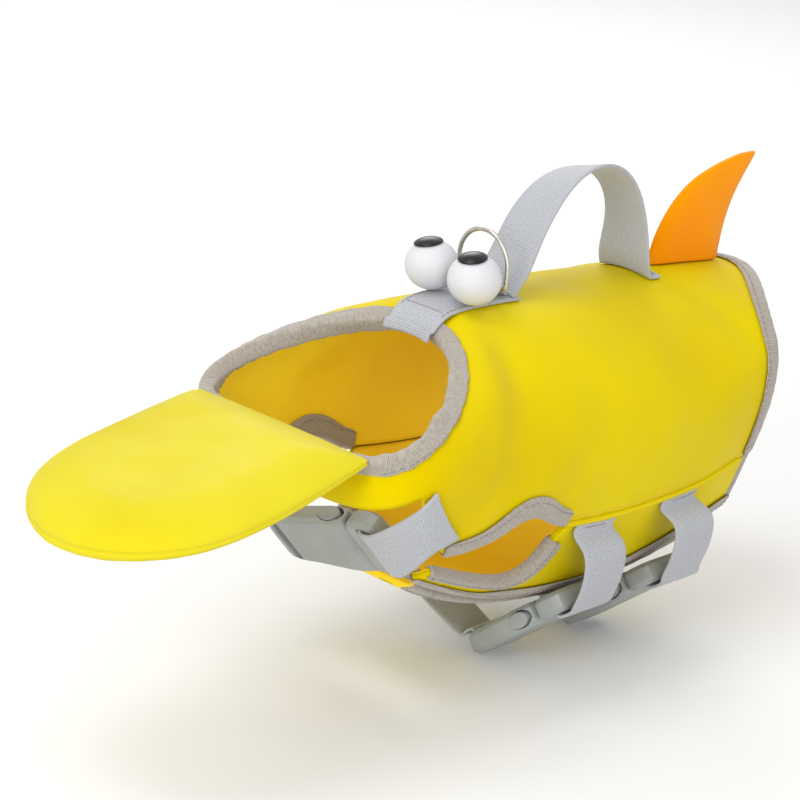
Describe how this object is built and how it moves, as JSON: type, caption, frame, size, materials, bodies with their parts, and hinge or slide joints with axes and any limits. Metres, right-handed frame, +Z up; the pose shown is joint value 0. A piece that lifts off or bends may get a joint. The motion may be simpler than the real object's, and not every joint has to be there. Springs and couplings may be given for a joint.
{
  "type": "dog life jacket",
  "caption": "Filled-out dog life jacket with a duck face: padded beak in front of the neck, ball eyes, grab handle, tail fin, lead ring and side-release buckles underneath",
  "frame": {"origin": "Inside the back panel on the spine, above the middle of the body, where the wearer's back holds the jacket up", "axes": "+X to the wearer's left, -Y to its nose, +Z up"},
  "size_m": [0.1792, 0.5125, 0.2743],
  "materials": {
    "yellow_cloth": "smooth woven",
    "beak_cloth": "smooth woven",
    "orange_cloth": "smooth woven",
    "edge_tape": "ribbed",
    "webbing": "woven",
    "buckle_plastic": "satin",
    "eye_white": "soft foam",
    "pupil_black": "smooth",
    "ring_metal": "plated"
  },
  "bodies": {
    "jacket": {"back_panel": "yellow_cloth", "neck_tape": "edge_tape", "hem_tape": "edge_tape", "belly_flap_left": "yellow_cloth", "belly_panel_right": "yellow_cloth", "belly_arm_tape_left": "edge_tape", "belly_edge_tape_left": "edge_tape", "belly_arm_tape_right": "edge_tape", "belly_edge_tape_right": "edge_tape", "beak": "beak_cloth", "fin": "orange_cloth", "spine_webbing": "webbing", "handle": "webbing", "ring_keeper": "webbing", "chest_buckle_socket": "buckle_plastic", "chest_buckle_plug": "buckle_plastic", "front_buckle_socket": "buckle_plastic", "front_buckle_plug": "buckle_plastic", "rear_buckle_socket": "buckle_plastic", "rear_buckle_plug": "buckle_plastic", "armhole_tape_left": "edge_tape", "eye_ball_left": "eye_white", "pupil_left": "pupil_black", "chest_strap_left": "webbing", "front_strap_left": "webbing", "rear_strap_left": "webbing", "armhole_tape_right": "edge_tape", "eye_ball_right": "eye_white", "pupil_right": "pupil_black", "chest_strap_right": "webbing", "front_strap_right": "webbing", "rear_strap_right": "webbing"},
    "lead_ring": {"d_ring": "ring_metal"}
  },
  "joints": [
    {"name": "ring_swing", "type": "hinge", "parent": "jacket", "child": "lead_ring", "pos_m": [0, -0.05, 0.01373], "axis": [1, 0, 0], "range_deg": [-45, 18]}
  ]
}
